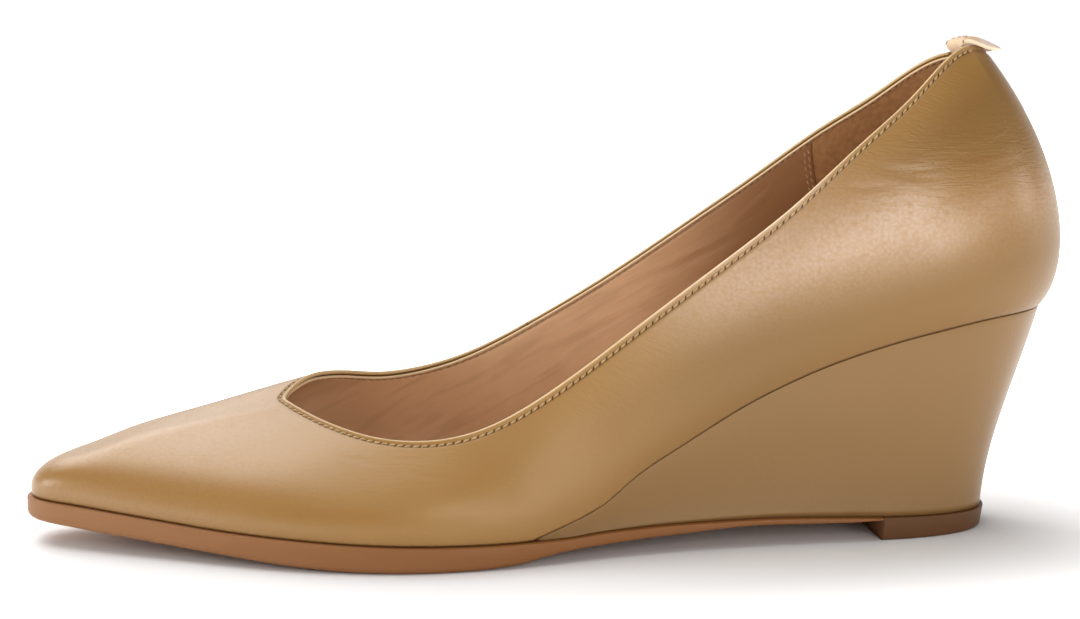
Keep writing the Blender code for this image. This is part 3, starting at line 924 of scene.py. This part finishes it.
TREAD = table(
    "x z",
    (0.0, 5.9),
    (28.0, 3.8),
    (47.0, 2.3),
    (62.0, 1.1),
    (76.0, 0.3),
    (90.0, 0.0),
    (104.0, 0.1),
    (113.0, 0.6),
    (119.0, 1.6),
    (125.0, 2.5),
    (133.0, 3.1),
    (152.0, 4.1),
    (171.0, 5.1),
    (192.0, 4.8),
    (201.0, 5.1),
)
SOLE_EDGE = 1.2  # how far it stands out
SOLE_FULL = 4.0  # its edge is less rounded where it is thinner than this
TREAD_ROUND = 1.5
RIM_ROUND = 0.45
BREAST = 13  # the station of the heel breast, where the lift starts
BREAST_GAP = 0.02
SCUFFS = (40, 120, 500)  # changes to the metre along x, y and z
SOLE_TAN = (0.330, 0.148, 0.055, 1)
SOLE_BROWN = (0.245, 0.092, 0.021, 1)


def rubber(name, front, back):
    """Matt moulded rubber, from one tone at the toe to another behind the ball, with faint scuffs drawn
    out along the sole."""
    material, tree, where = new_material(name)
    drawn = tree.noise(tree.stretched(where, SCUFFS), 1.0, 3.0)
    grit = tree.noise(where, 1700.0, 2.0)
    colour = (tree.axis(where, 0).ramp(-0.13, 0.0) + 0.5 * drawn - 0.25).mix(front, back)
    height = 0.015 * grit + 0.03 * drawn
    surface(material, colour, 0.44 + 0.16 * drawn, height, Specular_IOR_Level=0.35)
    return material


def sole_height(x, above, of_top):
    """Height of a row of the sole's edge, counted from its tread or, where of_top is 1, from its top;
    the rows draw together where the sole is thinner than SOLE_FULL."""
    low = profile(TREAD, x)
    thick = sole_top(x) - low
    return low + of_top * thick + above * np.minimum(1, thick / SOLE_FULL)


def make_outsole():
    """The edge's section, rounded at the tread and crisp at the rim, runs round the outline from one
    end of the heel breast to the other."""
    end = BREAST - BREAST_GAP
    plan, normal = outline(even_stations(-end, end, 16), at_foot=1)
    sides = [(inset, rise + TREAD_ROUND, 0) for inset, rise in corner(TREAD_ROUND, 6, -1, 0)]
    sides += [(inset, rise - RIM_ROUND, 1) for inset, rise in corner(RIM_ROUND, 4, 0, 1)]
    rings = [ring(plan, normal, inset - SOLE_EDGE, lambda x: sole_height(x, above, of_top))
             for inset, above, of_top in sides]
    look = rubber("sole rubber", SOLE_TAN, SOLE_BROWN)
    place("outsole", slab("outsole", rings), look, "sole_rubber", "outsole")


make_outsole()


# The heel lift: a darker rubber top piece under the wedge's foot, pinned and cemented on, with an edge
# that is trimmed to a slight taper.

LIFT_EDGE = 0.4  # how far it stands out at the top
LIFT_TAPER = 0.6  # how much less at the foot
LIFT_ROUND = 0.8
LIFT_RIM = 0.3
LIFT_TAN = (0.145, 0.056, 0.013, 1)
LIFT_BROWN = (0.115, 0.043, 0.009, 1)


def make_heel_lift():
    """A rounded lower edge, a tapered side and a small round at the top."""
    plan, normal = outline(even_stations(BREAST, STATIONS - BREAST, 24), at_foot=1)
    sides = [(inset + LIFT_TAPER, rise + LIFT_ROUND, 0)
             for inset, rise in corner(LIFT_ROUND, 5, -1, 0)]
    sides += [(inset, rise - LIFT_RIM, 1) for inset, rise in corner(LIFT_RIM, 3, 0, 1)]
    rings = [ring(plan, normal, inset - LIFT_EDGE, lambda x: of_top * sole_top(x) + above)
             for inset, above, of_top in sides]
    look = rubber("lift rubber", LIFT_TAN, LIFT_BROWN)
    place("heel_lift", slab("heel_lift", rings), look, "lift_rubber", "heel_lift")


make_heel_lift()


# The heel tab: a short strip of the lining's leather folded over the topline at the back, sewn through
# just outside the rim, with its outer end left loose.

TAB_FOLD = table(
    "out up half droop",
    (0.6, -7.0, 3.0, 0.0),
    (-2.7, -3.6, 3.2, 0.0),
    (-6.1, -0.4, 4.0, 0.0),
    (-7.1, 1.4, 6.0, 0.2),
    (-5.9, 2.7, 7.2, 0.6),
    (-3.1, 2.8, 7.6, 2.0),
    (-0.1, 1.6, 7.0, 1.6),
    (2.1, 0.7, 5.0, 0.9),
    (3.4, 0.3, 2.0, 0.3),
)
TAB_THICK = 0.9
TAB_BEVEL = 0.2
TAB_SEAM = (4.5, 1.3)  # row of the fold that the stitches cross, and how far they curve forward
TAB_SEAM_REACH = 0.92  # share of the tab's width that they cross
TAB_STITCHES = 8
TAB_CREAM = (0.66, 0.470, 0.290, 1)
TAB_PINK = (0.74, 0.570, 0.470, 1)
TAB_CUT = (0.82, 0.680, 0.480, 1)


def tab_leather(name):
    """Cream grain side over the fold, going pinker along the loose end, with pale cut edges."""
    material, tree, where = new_material(name)
    pores = tree.noise(where, 1500.0, 3.0)
    loose = attribute(tree, "along_tab").ramp(4.3, 5.4)
    colour = loose.mix(TAB_CREAM, TAB_PINK)
    colour = attribute(tree, "across_tab").ramp(0.94, 0.99).mix(colour, TAB_CUT)
    surface(material, colour, 0.55 + 0.15 * pores, 0.03 * pores, Specular_IOR_Level=0.4)
    return material


def tab_face(fold, s):
    """Middle of the tab at row fold of its table, softened by a mean over half a row each way; s runs
    from -1 to 1 across it, and its edges droop by s^4."""
    row = np.arange(len(TAB_FOLD))
    near = np.clip(np.add.outer(fold, np.linspace(-0.5, 0.5, 9)), 0, row[-1])
    means = (np.interp(near, row, TAB_FOLD[name]).mean(-1) for name in TAB_FOLD.dtype.names)
    out, up, half, droop = means
    offset = np.stack(np.broadcast_arrays(out, half * s, up - droop * s ** 4), axis=-1)
    return topline(np.array([HEEL])) + offset


def make_heel_tab():
    """The fold carried across the heel and made as thick as the leather, with softened cut edges."""
    fold, s = np.meshgrid(np.linspace(0, len(TAB_FOLD) - 1, 49), np.linspace(-1, 1, 25))
    index = np.arange(fold.size).reshape(fold.shape)
    mesh = new_mesh("heel_tab", tab_face(fold, s), quads(index), along_tab=fold, across_tab=np.abs(s))
    made = place("heel_tab", mesh, tab_leather("tab leather"), "lining_leather", "heel_tab")
    thickness = made.modifiers.new("thickness", "SOLIDIFY")
    thickness.thickness = TAB_THICK * MM
    thickness.offset = 0
    softened = made.modifiers.new("cut edge", "BEVEL")
    softened.width = TAB_BEVEL * MM
    softened.segments = 2


def make_tab_stitches():
    """One row across the tab that follows the curve of the rim: row of the fold less bend s^2."""
    row, bend = TAB_SEAM
    s = np.linspace(-TAB_SEAM_REACH, TAB_SEAM_REACH, TAB_STITCHES)
    centre = tab_face(row - bend * s * s, s)
    along = unit(tab_face(row - bend * (s + SMALL) ** 2, s + SMALL) - centre)
    back = unit(tab_face(row - bend * s * s + SMALL, s) - centre)
    out = unit(np.cross(back, along))
    mesh = stitch_mesh("tab_stitches", centre + TAB_THICK / 2 * out, along, out)
    place("tab_stitches", mesh, bpy.data.materials["lining thread"], "lining_leather")


make_tab_stitches()
make_heel_tab()


# The stage: white paper in a dim room that is white along the horizon. A row of small softboxes round
# the heel shines on the quarter, two large ones behind the toe shine along the vamp, and others fill in
# from off the toe and from above. The camera stands low on the lateral side, a little ahead of square.

CAMERA_AZIMUTH = -5.05
CAMERA_ELEVATION = 7.25
CAMERA_DISTANCE = 424.0
CAMERA_TARGET = (121.8, 0.0, 53.4)
CAMERA_LENS = 58.66
ROOM_WHITE = (1.06, 1.06, 1.06, 1)
ROOM_DIM = (0.05, 0.05, 0.05, 1)
ROOM_FADE = (0.07, 0.2)  # sine of the height between white and dim
ROOM_RISE = 0.3  # how much higher the white reaches behind the shoe
ROOM_BEHIND = (0.0, 0.9)  # it rises between these, as shares of straight behind
ROOM_FRONT = 0.4  # share of the white on the camera's side
ROOM_AHEAD = (-0.6, 0.0)  # it grows to the whole between these
OVERHEAD_POWER = 1.0
OVERHEAD_WIDTH = 50.0  # degrees across
OVERHEAD_AT = (-120, 80)  # azimuth and elevation
PAPER = (0.95, 0.95, 0.95, 1)
PAPER_GLOW = (0.10, 0.25)  # the paper shines by itself from the first to the second distance
PAPER_SHAPE = (1, 2, 1)  # distances count double across the shoe
PAPER_FRONT = (-0.4, -0.1)  # towards the camera the shine ends between these
FLOOR_RADIUS = 8.0
FLOOR_SIDES = 96
FLOOR_DROP = 2e-5  # how far the paper lies below the sole
SOFTBOX_AIM = 0.05  # height of the places that the softboxes face
SOFTBOXES = table(
    "azimuth elevation distance wide tall power at_x",
    (4, 20, 0.65, 0.18, 0.20, 0.85, 0.085),
    (19, 7, 0.65, 0.16, 0.16, 0.5, 0.085),
    (36, 9, 0.78, 0.26, 0.16, 0.38, 0.085),
    (56, 16, 1.04, 0.35, 0.20, 0.4, 0.085),
    (82, 16, 1.00, 0.25, 0.20, 0.6, 0.085),
    (-132, 52, 1.3, 0.90, 0.80, 7.4, 0.0),
    (-160, 36, 1.3, 1.00, 0.60, 4.4, 0.0),
    (-82, 10, 1.3, 0.50, 0.35, 3.5, 0.0),
    (-45, 68, 1.3, 0.60, 0.60, 1.4, 0.0),
    (-20, 45, 0.90, 0.50, 0.30, 0.7, 0.0),
)


def direction(azimuth, elevation):
    """Unit vector from the shoe towards a place round it; azimuth 0 is the lateral side."""
    a, e = np.radians([azimuth, elevation])
    return np.array([np.sin(a) * np.cos(e), -np.cos(a) * np.cos(e), np.sin(e)])


def aim(thing, spot, target):
    """Places a light or camera at spot, looking at target."""
    thing.location = spot
    thing.rotation_euler = Vector(target - spot).to_track_quat("-Z", "Y").to_euler()
    bpy.context.collection.objects.link(thing)


def make_camera():
    """The camera, at its distance from a point inside the shoe and looking at that point."""
    lens = bpy.data.cameras.new("camera")
    lens.lens = CAMERA_LENS
    lens.clip_start = 0.01
    camera = bpy.data.objects.new("camera", lens)
    target = to_model(CAMERA_TARGET)
    towards = direction(CAMERA_AZIMUTH, CAMERA_ELEVATION)
    aim(camera, target + towards * CAMERA_DISTANCE * MM, target)
    bpy.context.scene.camera = camera


def make_softboxes():
    """Rectangular lights, each of which faces a place along the shoe."""
    for row in SOFTBOXES:
        box = bpy.data.lights.new("softbox", "AREA")
        box.shape = "RECTANGLE"
        box.size = row["wide"]
        box.size_y = row["tall"]
        box.energy = row["power"]
        middle = np.array([row["at_x"], 0, SOFTBOX_AIM])
        towards = direction(row["azimuth"], row["elevation"])
        aim(bpy.data.objects.new("softbox", box), middle + towards * row["distance"], middle)


def make_floor():
    """A wide disc of white paper just under the sole. Away from the shoe it shines by itself, except
    towards the camera, so that it ends in the white of the room."""
    angle = 2 * np.pi * np.arange(FLOOR_SIDES) / FLOOR_SIDES
    rim = FLOOR_RADIUS * np.stack([np.cos(angle), np.sin(angle), 0 * angle], axis=1)
    mesh = bpy.data.meshes.new("floor")
    mesh.from_pydata((rim - (0, 0, FLOOR_DROP)).tolist(), [], [list(range(FLOOR_SIDES))])
    paper, tree, where = new_material("white paper")
    away = tree.node("VectorMath", {"operation": "LENGTH"}, {0: tree.stretched(where, PAPER_SHAPE)}, 1)
    shine = away.ramp(*PAPER_GLOW) * tree.axis(where, 1).ramp(*PAPER_FRONT)
    glow = shine.mix((0, 0, 0, 1), ROOM_WHITE)
    shader = paper.node_tree.nodes["Principled BSDF"]
    shader.inputs["Base Color"].default_value = PAPER
    shader.inputs["Roughness"].default_value = 0.9
    shader.inputs["Emission Strength"].default_value = 1
    paper.node_tree.links.new(glow.socket, shader.inputs["Emission Color"])
    mesh.materials.append(paper)
    floor = bpy.data.objects.new("floor", mesh)
    bpy.context.collection.objects.link(floor)


def make_room():
    """Light from all round: white along the horizon and dim from there to overhead. Behind the shoe the
    white reaches higher, and on the camera's side only a share of it is left."""
    world = bpy.data.worlds.new("studio")
    bpy.context.scene.world = world
    world.use_nodes = True
    tree = Value(world.node_tree)
    where = tree.node("TexCoord", output=0)
    back = tree.axis(where, 1)
    white = 1 - (tree.axis(where, 2) - ROOM_RISE * back.ramp(*ROOM_BEHIND)).ramp(*ROOM_FADE)
    white = white * (ROOM_FRONT + (1 - ROOM_FRONT) * back.ramp(*ROOM_AHEAD))
    colour = white.mix(ROOM_DIM, ROOM_WHITE)
    world.node_tree.links.new(colour.socket, world.node_tree.nodes["Background"].inputs["Color"])


def make_overhead():
    """A wide even light from above, the same all over the floor."""
    light = bpy.data.lights.new("overhead", "SUN")
    light.energy = OVERHEAD_POWER
    light.angle = np.radians(OVERHEAD_WIDTH)
    aim(bpy.data.objects.new("overhead", light), direction(*OVERHEAD_AT), np.zeros(3))


make_floor()
make_room()
make_softboxes()
make_overhead()
make_camera()
bpy.context.scene.view_settings.view_transform = "Standard"
